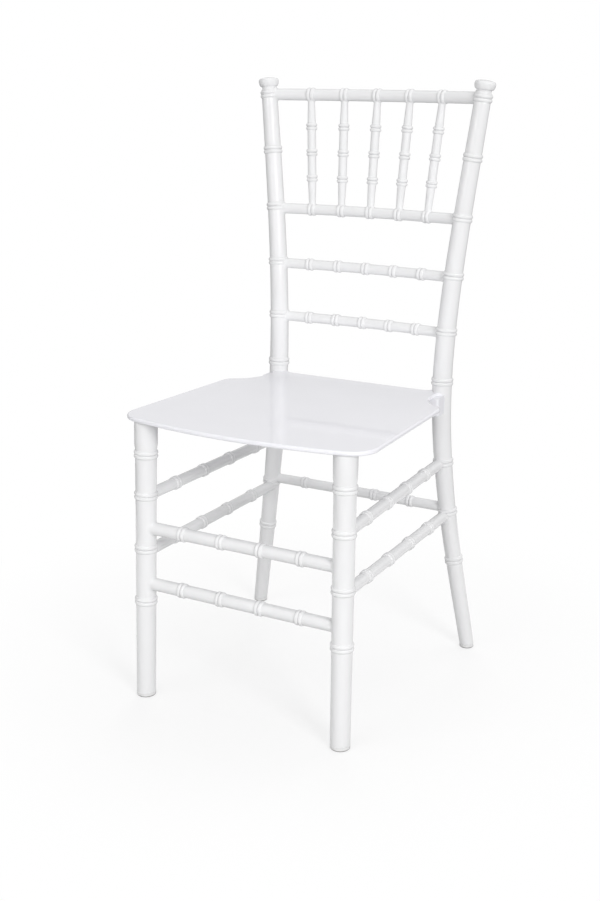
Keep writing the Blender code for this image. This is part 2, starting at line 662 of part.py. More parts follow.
plain_shares = rail_shares(PLAIN_RAIL_RING_PITCH)
top_rail = build_rail("back_rail_top", rear_posts, TOP_RAIL, TOP_RAIL_RADIUS, TOP_RAIL_BOW,
                      rail_shares(), frame_white)
spindle_rail = build_rail("back_rail_spindle", rear_posts, SPINDLE_RAIL, SPINDLE_RAIL_RADIUS,
                          SPINDLE_RAIL_BOW, rail_shares(), frame_white)
build_rail("back_rail_mid", rear_posts, MID_RAIL, PLAIN_RAIL_RADIUS, MID_RAIL_BOW,
           plain_shares, frame_white)
build_rail("back_rail_lower", rear_posts, LOWER_RAIL, PLAIN_RAIL_RADIUS, LOWER_RAIL_BOW,
           plain_shares, frame_white)
for number, share in enumerate(rail_shares(), 1):
    build_spindle(f"back_spindle_{number}", share, top_rail, spindle_rail, frame_white)

build_front_stretcher("front_stretcher_upper", front_legs, FRONT_UPPER, frame_white)
build_front_stretcher("front_stretcher_lower", front_legs, FRONT_LOWER, frame_white)
for key, side in SIDES.items():
    for level, height in (("upper", SIDE_UPPER), ("lower", SIDE_LOWER)):
        build_side_stretcher(f"{key}_stretcher_{level}", front_legs[key], rear_posts[key],
                             side, height, frame_white)
build_rear_stretcher("rear_stretcher", rear_posts, frame_white)

seat = build_seat(rear_posts, front_legs, seat_white)
for key, side in SIDES.items():
    build_bolt(f"seat_bolt_{key}", side, rear_posts[key], seat, bolt_steel)
    build_glide(f"foot_glide_front_{key}", front_legs[key], leg_axis(side, GLIDE_HEIGHT),
                leg_radius(GLIDE_HEIGHT), glide_grey)
    build_glide(f"foot_glide_rear_{key}", rear_posts[key], post_axis(side, GLIDE_HEIGHT),
                post_radius(GLIDE_HEIGHT), glide_grey)
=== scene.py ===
import math

import bmesh
import bpy
import numpy as np
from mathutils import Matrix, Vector


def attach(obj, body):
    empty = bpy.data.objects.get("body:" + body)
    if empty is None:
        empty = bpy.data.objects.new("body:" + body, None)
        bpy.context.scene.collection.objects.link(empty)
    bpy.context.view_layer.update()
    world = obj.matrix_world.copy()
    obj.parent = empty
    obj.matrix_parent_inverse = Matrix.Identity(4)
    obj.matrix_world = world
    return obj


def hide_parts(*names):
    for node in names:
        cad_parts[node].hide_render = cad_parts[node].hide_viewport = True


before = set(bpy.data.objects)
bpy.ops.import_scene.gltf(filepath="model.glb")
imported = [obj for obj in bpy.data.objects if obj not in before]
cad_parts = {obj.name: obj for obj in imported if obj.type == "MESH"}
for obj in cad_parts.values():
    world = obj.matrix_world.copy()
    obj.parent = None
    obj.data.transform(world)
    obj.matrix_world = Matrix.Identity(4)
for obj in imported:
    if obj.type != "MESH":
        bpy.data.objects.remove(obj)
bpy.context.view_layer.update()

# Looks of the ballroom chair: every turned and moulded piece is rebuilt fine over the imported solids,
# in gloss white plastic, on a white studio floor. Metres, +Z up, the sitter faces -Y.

BODY = "root"
MM = 0.001
UP = np.array((0.0, 0.0, 1.0))
ACROSS = np.array((1.0, 0.0, 0.0))
BACKWARD = np.array((0.0, 1.0, 0.0))
SIDES = {"left": -1, "right": 1}         # as seen from the front

# Rear posts: one long curve through foot, waist and top; a lean is the travel for each unit of height
POST_FOOT_SPREAD = 203.5 * MM            # half spacing of the posts
POST_FOOT_BACK = 187.3 * MM              # distance behind the origin
POST_WAIST_SPREAD = 150.8 * MM
POST_WAIST_BACK = 169.9 * MM
POST_TOP_SPREAD = 186.8 * MM
POST_TOP_BACK = 203.5 * MM
POST_FOOT_LEAN = np.array((-0.155, -0.085, 1.0))
POST_WAIST_LEAN = np.array((0.02, 0.072, 1.0))
POST_TOP_LEAN = np.array((0.112, 0.075, 1.0))
POST_FOOT_RADIUS = 11.8 * MM
POST_SEAT_RADIUS = 15.6 * MM
POST_TOP_RADIUS = 12.8 * MM

# Front legs
LEG_FOOT_SPREAD = 171.0 * MM
LEG_FOOT_FRONT = 217.2 * MM
LEG_TOP_SPREAD = 166.3 * MM
LEG_TOP_FRONT = 199.2 * MM
LEG_FOOT_RADIUS = 15.0 * MM
LEG_RADIUS = 16.2 * MM
LEG_CAPITAL_RADIUS = 17.4 * MM           # thicker stretch between the top ring and the seat
LEG_SHOULDER = 9.0 * MM                  # length of the taper up to that stretch
LEG_TOP_ROUNDING = 3.2 * MM

# Heights
SEAT_HEIGHT = 445.7 * MM                 # top of the seat at the middle of the chair
LOW_RING = 157.5 * MM
SIDE_LOWER = LOW_RING + 77.5 * MM
SIDE_UPPER = SIDE_LOWER + 89.0 * MM
SIDE_LOWER_TO_RING = 7.0 * MM            # a ring on a post or leg, above the bar that meets it there
SIDE_UPPER_TO_RING = 2.0 * MM
LOW_RINGS = (LOW_RING, SIDE_LOWER + SIDE_LOWER_TO_RING, SIDE_UPPER + SIDE_UPPER_TO_RING)
LEG_RING = SIDE_UPPER + 66.0 * MM
FRONT_LOWER = LOW_RING + 28.2 * MM
FRONT_UPPER = FRONT_LOWER + 89.3 * MM
REAR_STRETCHER = SIDE_LOWER + 12.5 * MM
LOWER_RAIL = SEAT_HEIGHT + 90.8 * MM
MID_RAIL = LOWER_RAIL + 87.9 * MM
SPINDLE_RAIL = MID_RAIL + 89.5 * MM
TOP_RAIL = SPINDLE_RAIL + 182.1 * MM
POST_WAIST_HEIGHT = SEAT_HEIGHT + 44.3 * MM
SEAT_TO_WAIST_RING = 15.9 * MM
RAIL_TO_RING = 3.0 * MM

# Seat
SEAT_TILT = math.radians(0.75)           # falls towards the back
SEAT_THICKNESS = 6.8 * MM
SEAT_FRONT_WIDTH = 411.0 * MM
SEAT_REAR_WIDTH = 388.0 * MM
SEAT_FRONT = 236.7 * MM                  # front edge at the middle, ahead of the origin
SEAT_FRONT_EDGE_RADIUS = 870.0 * MM
SEAT_FRONT_CORNER_RADIUS = 42.0 * MM
SEAT_REAR_CORNER_RADIUS = 22.0 * MM
SEAT_EDGE_ROUNDING = 2.9 * MM
SEAT_REAR_INSET = 6.7 * MM               # rear edge stands this far ahead of the post axes
SEAT_OUTLINE_TOLERANCE = 0.03 * MM
SCOOP_RADIUS = 60.0 * MM                 # hollow cut from each rear corner towards its post
SCOOP_AHEAD_OF_POST = 40.0 * MM
OUTER_FLARE_RADIUS = 14.0 * MM
OUTER_FLARE_SWEEP = 60.0                 # degrees
INNER_FLARE_RADIUS = 29.0 * MM
INNER_FLARE_SWEEP = 49.0                 # degrees
LUG_WIDTH = 20.0 * MM
LUG_DEPTH = 22.0 * MM
LUG_HEIGHT = 26.0 * MM
LUG_CORNER_RADIUS = 4.0 * MM
LUG_EDGE_ROUNDING = 1.2 * MM
NOTCH_CLEARANCE = 0.1 * MM               # gap between the seat and each rear post
SEAT_GAP = 0.3 * MM                      # gap between the seat and each front leg

# Cross pieces
TOP_RAIL_RADIUS = 9.2 * MM
SPINDLE_RAIL_RADIUS = 8.4 * MM
PLAIN_RAIL_RADIUS = 8.0 * MM
TOP_RAIL_BOW = 22.0 * MM                 # how far the middle of a rail stands behind its ends
SPINDLE_RAIL_BOW = 16.0 * MM
MID_RAIL_BOW = 11.0 * MM
LOWER_RAIL_BOW = 9.0 * MM
FRONT_STRETCHER_RADIUS = 9.7 * MM
SIDE_STRETCHER_RADIUS = 8.8 * MM
SIDE_STRETCHER_TOE_IN = 4.0 * MM         # rear end stands this far inside the post's axis
REAR_STRETCHER_RADIUS = 8.1 * MM
SPINDLE_RADIUS = 6.9 * MM
SPINDLE_END_RADIUS = 5.5 * MM
SPINDLE_COUNT = 5
RAIL_RING_PITCH = 0.31                   # ring spacing on a rail, in half spans of the rail
PLAIN_RAIL_RING_PITCH = 0.32             # the same on the two rails below the spindles
STRETCHER_RINGS = 4
SPINDLE_RING_STEP = 0.225                # ring spacing on a spindle, in lengths between the rails
RAILS = {                                # height, radius, bow and ring pitch of each rail of the back
    "top": (TOP_RAIL, TOP_RAIL_RADIUS, TOP_RAIL_BOW, RAIL_RING_PITCH),
    "spindle": (SPINDLE_RAIL, SPINDLE_RAIL_RADIUS, SPINDLE_RAIL_BOW, RAIL_RING_PITCH),
    "mid": (MID_RAIL, PLAIN_RAIL_RADIUS, MID_RAIL_BOW, PLAIN_RAIL_RING_PITCH),
    "lower": (LOWER_RAIL, PLAIN_RAIL_RADIUS, LOWER_RAIL_BOW, PLAIN_RAIL_RING_PITCH),
}

# Double rings, and the soft blends that a mould leaves
POST_RING = (12.0 * MM, 2.0 * MM)        # height of the pair of beads, and how far they stand proud
RAIL_RING = (12.5 * MM, 2.0 * MM)
STRETCHER_RING = (12.0 * MM, 1.7 * MM)
SPINDLE_RING = (11.0 * MM, 2.2 * MM)
GROOVE_SHARE = -0.2                      # lift of the groove's floor, as a share of the bead's
COVE_LENGTH = 1.4 * MM
COVE_LIFT = -0.15 * MM
RAIL_FILLET = 3.0 * MM
STRETCHER_FILLET = 2.2 * MM
SPINDLE_FILLET = 1.4 * MM
FILLET_WALL_SHARE = 0.8                  # most of the host's wall beside a bar that its fillet may take
TENON_DEPTH = 4.0 * MM                   # how far a bar goes on inside its host
TENON_TIP_SHARE = 0.5                    # radius of the end face in there, as a share of the bar's

# Finial, heights above the top ring's middle
FINIAL_NECK_RADIUS = 11.2 * MM
FINIAL_NECK_HEIGHT = 9.0 * MM
FINIAL_LIP_RADIUS = 12.2 * MM
FINIAL_LIP_HEIGHT = 12.2 * MM
FINIAL_RADIUS = 16.3 * MM
FINIAL_BELLY_HEIGHT = 20.2 * MM
FINIAL_RIM_RADIUS = 13.6 * MM
FINIAL_RIM_HEIGHT = 25.0 * MM
FINIAL_HEIGHT = 26.8 * MM
FINIAL_ROOT = 3.0 * MM                   # how far the finial goes on inside the post's top ring
FINIAL_ROOT_TAPER = 0.5 * MM
FINIAL_DOME_SHARES = (0.8, 0.6, 0.4, 0.2, 0.04)   # radii on the dome, as shares of the rim's

# Feet and bolts
GLIDE_HEIGHT = 6.0 * MM
GLIDE_ROUNDING = 1.8 * MM
GLIDE_GAP = 0.3 * MM
BOLT_DROP = 13.0 * MM                    # bolt axis below the underside of the seat
BOLT_GRIP = 15.0 * MM                    # length of bolt inside the seat's lug
BOLT_RADIUS = 3.0 * MM
BOLT_HEAD_RADIUS = 5.2 * MM
BOLT_HEAD_HEIGHT = 4.0 * MM
BOLT_HEAD_ROUNDING = 0.7 * MM
BOLT_KEY_RADIUS = 2.3 * MM               # half the width of the hexagonal key hole
BOLT_KEY_DEPTH = 2.4 * MM
COUNTERBORE_GAP = 0.4 * MM

# Mesh fineness
FACETS = 48
SHAFT_STEP = 9.0 * MM                    # longest plain stretch between two rings of points
DIRECTION_STEP = 0.5 * MM                # half step used to find a line's direction
SAME_PLACE = 0.001 * MM                  # places closer than this count as one
SHARP_EDGE = math.radians(40)            # edges that turn more than this are shaded sharp
ROUND_BEVEL = 0.5                        # bevel profile that makes a round edge
BEAD_STEPS = 9
COVE_STEPS = 4
FILLET_STEPS = 6
FINIAL_LIP_STEPS = 5
FINIAL_BOWL_STEPS = 9
FINIAL_RIM_STEPS = 8
LEG_TOP_STEPS = 5
BOLT_HEAD_STEPS = 5
GLIDE_STEPS = 7
SEAT_EDGE_STEPS = 6
LUG_CORNER_STEPS = 6
LUG_EDGE_STEPS = 3
BISECTIONS = 30                          # halvings used to find where a bar meets its host
SEARCH_REACH = 40.0 * MM                 # furthest along a bar that its host's surface is looked for
CUTTER_REACH = 40.0 * MM                 # length of a counterbore's cutter outside the post
CUTTER_START = np.array((0.3, 0.2, 1.0))  # direction that sets where the cutter's facets start
ANGLES = 2 * math.pi * (np.arange(FACETS) + 0.5) / FACETS

# Finishes: range of colour, range of roughness, and the grain's scale and depth
FRAME_FINISH = (((0.85, 0.85, 0.855), (0.875, 0.875, 0.883)), (0.08, 0.12), (900.0, 0.012 * MM))
SEAT_FINISH = (((0.91, 0.907, 0.946), (0.925, 0.922, 0.961)), (0.03, 0.05), (500.0, 0.004 * MM))
GLIDE_FINISH = (((0.80, 0.80, 0.80), (0.84, 0.84, 0.84)), (0.42, 0.58), (1400.0, 0.05 * MM))
BOLT_FINISH = (((0.52, 0.52, 0.53), (0.64, 0.64, 0.65)), (0.24, 0.38), (1800.0, 0.02 * MM))
NO_STRETCH = (1.0, 1.0, 1.0)
BOLT_STRETCH = (1.0, 0.1, 1.0)           # marks on the steel run along the bolt
CLOUD_NOISE = (14.0, 3.0)                # scale and detail of the faint change of colour
POLISH_NOISE = (85.0, 4.0)               # scale and detail of the uneven polish
GRAIN_DETAIL = 2.0
GRAIN_STRENGTH = 0.6
NOISE_RANGE = (0.25, 0.75)               # part of a noise's range that is spread over a finish's range
# Feet: a dark band at the very bottom, painted contact shade where each glide meets the floor, with some
# grime
GRIME_AND_CONTACT_SHADE_COLOUR = (0.22, 0.21, 0.2)
GRIME_AND_CONTACT_SHADE_HEIGHTS = (1.2 * MM, 2.4 * MM)     # painted contact shade and grime on the feet are full below the first, gone at the second

# Camera, at the photograph's angle
CAMERA_PLACE = (0.9366, -1.71115, 0.9641)
CAMERA_YAW = math.radians(29.11)
CAMERA_PITCH = math.radians(17.05)
CAMERA_LENS = 52.06
CAMERA_SENSOR = 36.0

# Studio
WHITE = (1.0, 1.0, 1.0, 1.0)
AMBIENT = 0.52
FLOOR_REACH = 8.0
FLOOR_BOUNCE = (0.38, 0.38, 0.38)        # floor colour in the light that it throws back
FLOOR_COLOUR = (0.97, 0.97, 0.97)        # floor colour where it is seen
FLOOR_WHITE_NEAR = 0.67                  # share of plain white in the floor that is seen under the chair
FLOOR_FADE = (0.2, 0.75)                 # distances between which the floor turns wholly white
SURROUND_PROFILE = ((1.0, 0.02), (6.0, 1.2), (6.0, 3.6), (6.0, 8.0))   # radius and height
SURROUND_GREYS = (0.33, 0.76, 0.45)      # from the lowest band of the walls to the highest

# Lamps: azimuth in degrees, distance, height, (width, height) of the lamp, and power in watts
LAMPS = {
    "key_light": (57.0, 4.5, 2.0, (1.5, 2.2), 113.0),
    "key_strip": (53.0, 4.5, 1.65, (0.4, 1.6), 30.0),
    "fill_strip": (-12.0, 4.5, 1.65, (0.3, 1.6), 14.0),
    "front_light": (-27.0, 4.5, 3.4, (3.0, 1.2), 34.0),
    "low_light": (2.0, 1.6, 0.35, (0.9, 0.4), 3.6),
    "top_light": (180.0, 2.0, 4.0, (3.0, 3.0), 32.0),
    "back_light": (209.0, 4.5, 0.8, (3.0, 1.4), 80.0),
}
STRIPS = ("key_strip", "fill_strip")     # lamps that only make highlights on the rear posts


# Lines through space

def unit(vectors):
    return vectors / np.linalg.norm(vectors, axis=-1, keepdims=True)


class Shaft:
    """A turned piece: a line through space, its plain radius, and the place on it beside a point."""

    def __init__(self, point, radius, locate, reference, length=None):
        self.point = point
        self.radius = radius
        self.locate = locate
        self.reference = reference
        self.length = length

    def direction(self, along):
        return unit(self.point(along + DIRECTION_STEP) - self.point(along - DIRECTION_STEP))

    def surface(self, along, radius):
        """One point for each facet, at the given distance along the line and from it."""
        axis = self.direction(along)
        lean = np.sum(axis * self.reference, axis=-1, keepdims=True)
        across = unit(self.reference - axis * lean)
        beside = np.cross(axis, across)
        swing = np.cos(ANGLES)[:, None] * across + np.sin(ANGLES)[:, None] * beside
        return self.point(along) + radius[..., None] * swing

    def gap(self, points):
        """Distance of points from the plain surface."""
        along = self.locate(points)
        offset = points - self.point(along)
        axis = self.direction(along)
        offset = offset - axis * np.sum(offset * axis, axis=-1, keepdims=True)
        return np.linalg.norm(offset, axis=-1) - self.radius(along)


def height_of(points):
    return points[..., 2]


def curve(height, low, low_lean, high, high_lean):
    """Smooth curve that leaves low and reaches high with the given leans."""
    rise = high[2] - low[2]
    share = ((height - low[2]) / rise)[..., None]
    rest = 1 - share
    near_low = low + low_lean * (rise / 3)
    near_high = high - high_lean * (rise / 3)
    ends = low * rest ** 3 + high * share ** 3
    return ends + near_low * (3 * rest ** 2 * share) + near_high * (3 * rest * share ** 2)


def post_radius(height):
    places = (0.0, SEAT_HEIGHT, TOP_RAIL)
    return np.interp(height, places, (POST_FOOT_RADIUS, POST_SEAT_RADIUS, POST_TOP_RADIUS))


def post_shaft(side):
    foot = np.array((POST_FOOT_SPREAD, POST_FOOT_BACK, 0.0))
    waist = np.array((POST_WAIST_SPREAD, POST_WAIST_BACK, POST_WAIST_HEIGHT))
    top = np.array((POST_TOP_SPREAD, POST_TOP_BACK, TOP_RAIL))
    mirror = np.array((side, 1.0, 1.0))

    def point(height):
        height = np.asarray(height, float)
        below = curve(height, foot, POST_FOOT_LEAN, waist, POST_WAIST_LEAN)
        above = curve(height, waist, POST_WAIST_LEAN, top, POST_TOP_LEAN)
        beyond = top + unit(POST_TOP_LEAN) * (height - TOP_RAIL)[..., None]
        level = height[..., None]
        middle = np.where(level < POST_WAIST_HEIGHT, below, above)
        return mirror * np.where(level > TOP_RAIL, beyond, middle)

    return Shaft(point, post_radius, height_of, ACROSS)


def seat_top(back):
    return SEAT_HEIGHT - back * math.tan(SEAT_TILT)


def seat_underside(back):
    return seat_top(back) - SEAT_THICKNESS / math.cos(SEAT_TILT)


def leg_radius(height):
    shoulder = LEG_RING + POST_RING[0] / 2
    places = (0.0, LEG_RING, shoulder, shoulder + LEG_SHOULDER)
    return np.interp(height, places, (LEG_FOOT_RADIUS, LEG_RADIUS, LEG_RADIUS, LEG_CAPITAL_RADIUS))


def leg_shaft(side):
    top_height = seat_underside(-LEG_TOP_FRONT)
    foot = np.array((side * LEG_FOOT_SPREAD, -LEG_FOOT_FRONT, 0.0))
    top = np.array((side * LEG_TOP_SPREAD, -LEG_TOP_FRONT, top_height))

    def point(height):
        return foot + (top - foot) * (np.asarray(height, float) / top_height)[..., None]

    return Shaft(point, leg_radius, height_of, ACROSS)


def bar_shaft(start, end, radius, bow=0.0, reference=UP):
    """Bar between two points, its middle standing back by bow; places on it are distances from start."""
    span = end - start
    length = np.linalg.norm(span)
    axis = span / length

    def point(along):
        share = (np.asarray(along, float) / length)[..., None]
        return start + span * share + BACKWARD * (4 * bow * share * (1 - share))

    def plain_radius(along):
        return np.full(np.shape(along), radius)

    def locate(points):
        return (points - start) @ axis

    return Shaft(point, plain_radius, locate, reference, length)


# Profiles: rows of (place along, lift above the plain radius)

def quarter_turn(steps):
    return np.linspace(0.0, math.pi / 2, steps)


def double_ring(middle, size):
    """Two round beads with a groove between them and a soft cove outside each."""
    height, proud = size
    quarter = height / 4
    rows = []
    for side in (-1, 1):
        for step in range(1, COVE_STEPS):
            share = step / COVE_STEPS
            rows.append((middle + side * (2 * quarter + COVE_LENGTH * share), COVE_LIFT * (1 - share) ** 2))
        for turn in np.linspace(0.0, math.pi, BEAD_STEPS):
            outward = math.cos(turn)
            foot = COVE_LIFT if outward > 0 else proud * GROOVE_SHARE
            rows.append((middle + side * quarter * (1 + outward), foot + (proud - foot) * math.sin(turn)))
    return rows


def rounded_end(place, rounding, steps, outward=1):
    """Rows of a rounding, from the plain surface to the end face at the given place."""
    rows = []
    for turn in quarter_turn(steps):
        back = rounding * (1 - math.sin(turn))
        rows.append((place - outward * back, -rounding * (1 - math.cos(turn))))
    return rows


def with_plain(rows, start, end):
    """Rows from start to end, with plain ones added wherever the rings leave a long stretch."""
    places = sorted([place for place, _ in rows] + [start, end])
    plain = [(start, 0.0), (end, 0.0)]
    for low, high in zip(places, places[1:]):
        count = int((high - low) / SHAFT_STEP)
        plain += [(low + (high - low) * (k + 1) / (count + 1), 0.0) for k in range(count)]
    return sorted(rows + plain)


def distinct(rows):
    """Sorted rows without those that repeat a place."""
    kept = [rows[0]]
    for row in rows[1:]:
        if row[0] - kept[-1][0] > SAME_PLACE:
            kept.append(row)
    return kept


def as_stations(shaft, rows):
    """Arrays of places and radii, a row for each station and a column for each facet."""
    rows = np.array(distinct(rows))
    along = np.repeat(rows[:, :1], FACETS, axis=1)
    radius = np.repeat((shaft.radius(rows[:, 0]) + rows[:, 1])[:, None], FACETS, axis=1)
    return along, radius


# Meshes

def loft_mesh(name, points):
    """Closed tube through rings of points, with flat ends."""
    stations, facets = points.shape[:2]
    index = np.arange(stations * facets).reshape(stations, facets)
    following = np.roll(index, -1, axis=1)
    quads = np.stack((index[:-1], following[:-1], following[1:], index[1:]), axis=-1)
    faces = quads.reshape(-1, 4).tolist()
    faces += [index[0, ::-1].tolist(), index[-1].tolist()]
    mesh = bpy.data.meshes.new(name)
    mesh.from_pydata(points.reshape(-1, 3).tolist(), [], faces)
    return mesh


def finished(mesh):
    mesh.shade_smooth()
    mesh.set_sharp_from_angle(angle=SHARP_EDGE)
    return mesh


def add_object(name, data):
    item = bpy.data.objects.new(name, data)
    bpy.context.scene.collection.objects.link(item)
    return item


def dress(node, mesh, material, part="fine"):
    """Put a finished mesh in place of a CAD node, or of the named part of it."""
    mesh.materials.clear()
    mesh.materials.append(material)
    piece = add_object(f"{node}_{part}", finished(mesh))
    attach(piece, BODY)
    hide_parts(node)
    return piece


def combined(mesh, steps):
    """Mesh after Boolean steps, each an (operation, mesh)."""
    host = add_object("host", mesh)
    tools = []
    for operation, shape in steps:
        tool = add_object("tool", shape)
        tools.append(tool)
        step = host.modifiers.new(operation, "BOOLEAN")
        step.operation = operation
        step.object = tool
        step.solver = "EXACT"
    graph = bpy.context.evaluated_depsgraph_get()
    made = bpy.data.meshes.new_from_object(host.evaluated_get(graph))
    for item in [host] + tools:
        bpy.data.objects.remove(item)
    return made


def mesh_from(body, name):
    """Mesh of a bmesh, which is freed."""
    mesh = bpy.data.meshes.new(name)
    body.to_mesh(mesh)
    body.free()
    return mesh


def round_edges(body, edges, radius, steps):
    bmesh.ops.bevel(body, geom=edges, offset=radius, segments=steps, profile=ROUND_BEVEL, affect="EDGES")


# Rear posts and front legs

def ellipse_rows(start, end, steps, level_at_end):
    """Rows on a quarter ellipse between two (place, radius) points, where the radius holds level at the
    start or at the end."""
    rows = []
    for turn in quarter_turn(steps):
        rise = math.sin(turn)
        swell = 1 - math.cos(turn)
        if level_at_end:
            rise, swell = swell, rise
        rows.append((start[0] + (end[0] - start[0]) * rise, start[1] + (end[1] - start[1]) * swell))
    return rows


def finial_rows():
    """(height above the top ring, radius): root, hollow neck, bowl-shaped knob and a low dome."""
    ring_edge = (POST_RING[0] / 2 + COVE_LENGTH / 2, POST_TOP_RADIUS - COVE_LIFT)
    root = (ring_edge[0] - FINIAL_ROOT, ring_edge[1] - FINIAL_ROOT_TAPER)
    neck = (FINIAL_NECK_HEIGHT, FINIAL_NECK_RADIUS)
    lip = (FINIAL_LIP_HEIGHT, FINIAL_LIP_RADIUS)
    belly = (FINIAL_BELLY_HEIGHT, FINIAL_RADIUS)
    rim = (FINIAL_RIM_HEIGHT, FINIAL_RIM_RADIUS)
    rows = [root, ring_edge]
    rows += ellipse_rows(neck, lip, FINIAL_LIP_STEPS, False)
    rows += ellipse_rows(lip, belly, FINIAL_BOWL_STEPS, True)[1:]
    rows += ellipse_rows(belly, rim, FINIAL_RIM_STEPS, False)[1:]
    for share in FINIAL_DOME_SHARES:
        rows.append((rim[0] + (FINIAL_HEIGHT - rim[0]) * (1 - share ** 2), rim[1] * share))
    return rows


def post_ring_heights():
    waist_ring = seat_top(POST_WAIST_BACK) + SEAT_TO_WAIST_RING
    upper_middle = (SPINDLE_RAIL + TOP_RAIL) / 2
    beside_rails = [height + RAIL_TO_RING for height in (LOWER_RAIL, MID_RAIL, SPINDLE_RAIL, upper_middle)]
    return (*LOW_RINGS, waist_ring, *beside_rails, TOP_RAIL)


def level_foot(points, height):
    """Turn the lowest ring into a level one at the given height."""
    points[0, :, 2] = height
    return points


def bolt_line(post):
    """Middle of the outer face of a seat bolt's head, and the bolt's length."""
    height = seat_underside(POST_WAIST_BACK) - BOLT_DROP
    centre = post.point(np.array(height))
    radius = float(post.radius(height))
    face = centre + BACKWARD * radius
    return face, 2 * radius + BOLT_GRIP


def counterbore_mesh(post):
    """Cutter of the hollow that a seat bolt's head sits in."""
    face, _ = bolt_line(post)
    outside = face + BACKWARD * CUTTER_REACH
    floor = face - BACKWARD * BOLT_HEAD_HEIGHT
    rod = bar_shaft(outside, floor, BOLT_HEAD_RADIUS + COUNTERBORE_GAP, reference=unit(CUTTER_START))
    along, radius = as_stations(rod, [(0.0, 0.0), (rod.length, 0.0)])
    return loft_mesh("counterbore", rod.surface(along, radius))


def build_post(node, post, material):
    foot = GLIDE_HEIGHT + GLIDE_GAP
    top = TOP_RAIL + POST_RING[0] / 2
    rings = [row for middle in post_ring_heights() for row in double_ring(middle, POST_RING)]
    rows = with_plain([row for row in rings if row[0] < top], foot, top)
    along, radius = as_stations(post, rows)
    mesh = loft_mesh(node, level_foot(post.surface(along, radius), foot))
    return dress(node, combined(mesh, [("DIFFERENCE", counterbore_mesh(post))]), material)


def build_finial(node, post, material):
    rows = np.array([(TOP_RAIL + rise, size) for rise, size in finial_rows()])
    along = np.repeat(rows[:, :1], FACETS, axis=1)
    radius = np.repeat(rows[:, 1:], FACETS, axis=1)
    mesh = loft_mesh(f"{node}_finial", post.surface(along, radius))
    dress(node, mesh, material, "finial")


def build_leg(node, leg, material):
    foot = GLIDE_HEIGHT + GLIDE_GAP
    top = seat_underside(-LEG_TOP_FRONT) - SEAT_GAP
    shoulder = LEG_RING + POST_RING[0] / 2 + LEG_SHOULDER
    rings = [row for middle in (*LOW_RINGS, LEG_RING) for row in double_ring(middle, POST_RING)]
    rows = with_plain(rings + [(shoulder, 0.0)], foot, top - LEG_TOP_ROUNDING)
    rows += rounded_end(top, LEG_TOP_ROUNDING, LEG_TOP_STEPS)[1:]
    along, radius = as_stations(leg, rows)
    dress(node, loft_mesh(node, level_foot(leg.surface(along, radius), foot)), material)


# Rails, stretchers and spindles

def meeting(bar, host, size, lift, origin, outward):
    """Places along a bar, one for each facet, where its surface at that size stands lift off its host."""
    near = np.zeros(FACETS)
    far = np.full(FACETS, SEARCH_REACH)
    radius = np.full(FACETS, size)
    for _ in range(BISECTIONS):
        middle = (near + far) / 2
        inside = host.gap(bar.surface(origin + outward * middle, radius)) < lift
        near = np.where(inside, middle, near)
        far = np.where(inside, far, middle)
    return origin + outward * (near + far) / 2


def rooted_end(bar, host, radius, fillet, proud, origin, outward):
    """Stations from inside the host, over a fillet on its surface, to the plain bar."""
    root = meeting(bar, host, radius, proud, origin, outward)
    tip = (root.min() if outward > 0 else root.max()) - outward * TENON_DEPTH
    along = [np.full(FACETS, tip), np.full(FACETS, tip)]
    sizes = [radius * TENON_TIP_SHARE, radius]
    for turn in quarter_turn(FILLET_STEPS):
        size = radius + fillet * (1 - math.sin(turn))
        along.append(meeting(bar, host, size, proud + fillet * (1 - math.cos(turn)), origin, outward))
        sizes.append(size)
    return along, [np.full(FACETS, size) for size in sizes]


def bar_mesh(name, bar, hosts, end_radius, fillet, rows, proud=0.0):
    """Bar between two hosts, each a (shaft, wall beside the bar), with the given rows between its ends."""
    ends = []
    for (host, wall), origin, outward in zip(hosts, (0.0, bar.length), (1, -1)):
        size = min(fillet, wall * FILLET_WALL_SHARE)
        ends.append(rooted_end(bar, host, end_radius, size, proud, origin, outward))
    (start_along, start_sizes), (end_along, end_sizes) = ends
    clear_start = start_along[-1].max()
    clear_end = end_along[-1].min()
    along, sizes = as_stations(bar, [row for row in rows if clear_start < row[0] < clear_end])
    along = np.vstack(start_along + [along] + end_along[::-1])
    sizes = np.vstack(start_sizes + [sizes] + end_sizes[::-1])
    return loft_mesh(name, bar.surface(along, sizes))


def rings_along(bar, shares, size):
    rows = [row for share in shares for row in double_ring(share * bar.length, size)]
    return with_plain(rows, 0.0, bar.length)


def rail_shares(pitch=RAIL_RING_PITCH):
    """Places of a rail's rings, as shares of its length."""
    middle = (SPINDLE_COUNT - 1) / 2
    return [0.5 + pitch / 2 * (k - middle) for k in range(SPINDLE_COUNT)]


def stretcher_shares():
    """Places of a stretcher's rings, as shares of its length."""
    return [(k + 1) / (STRETCHER_RINGS + 1) for k in range(STRETCHER_RINGS)]


def wall_beside(host, height, reach):
    """Thickness of the host left beside a bar that reaches that far from the host's line."""
    return float(host.radius(height)) - reach


def build_cross_bar(node, hosts, height, radius, ring, shares, fillet, material, bow=0.0):
    start, end = [host.point(np.array(height)) for host in hosts]
    bar = bar_shaft(start, end, radius, bow)
    walls = [(host, wall_beside(host, height, radius)) for host in hosts]
    mesh = bar_mesh(node, bar, walls, radius, fillet, rings_along(bar, shares, ring))
    dress(node, mesh, material)
    return bar


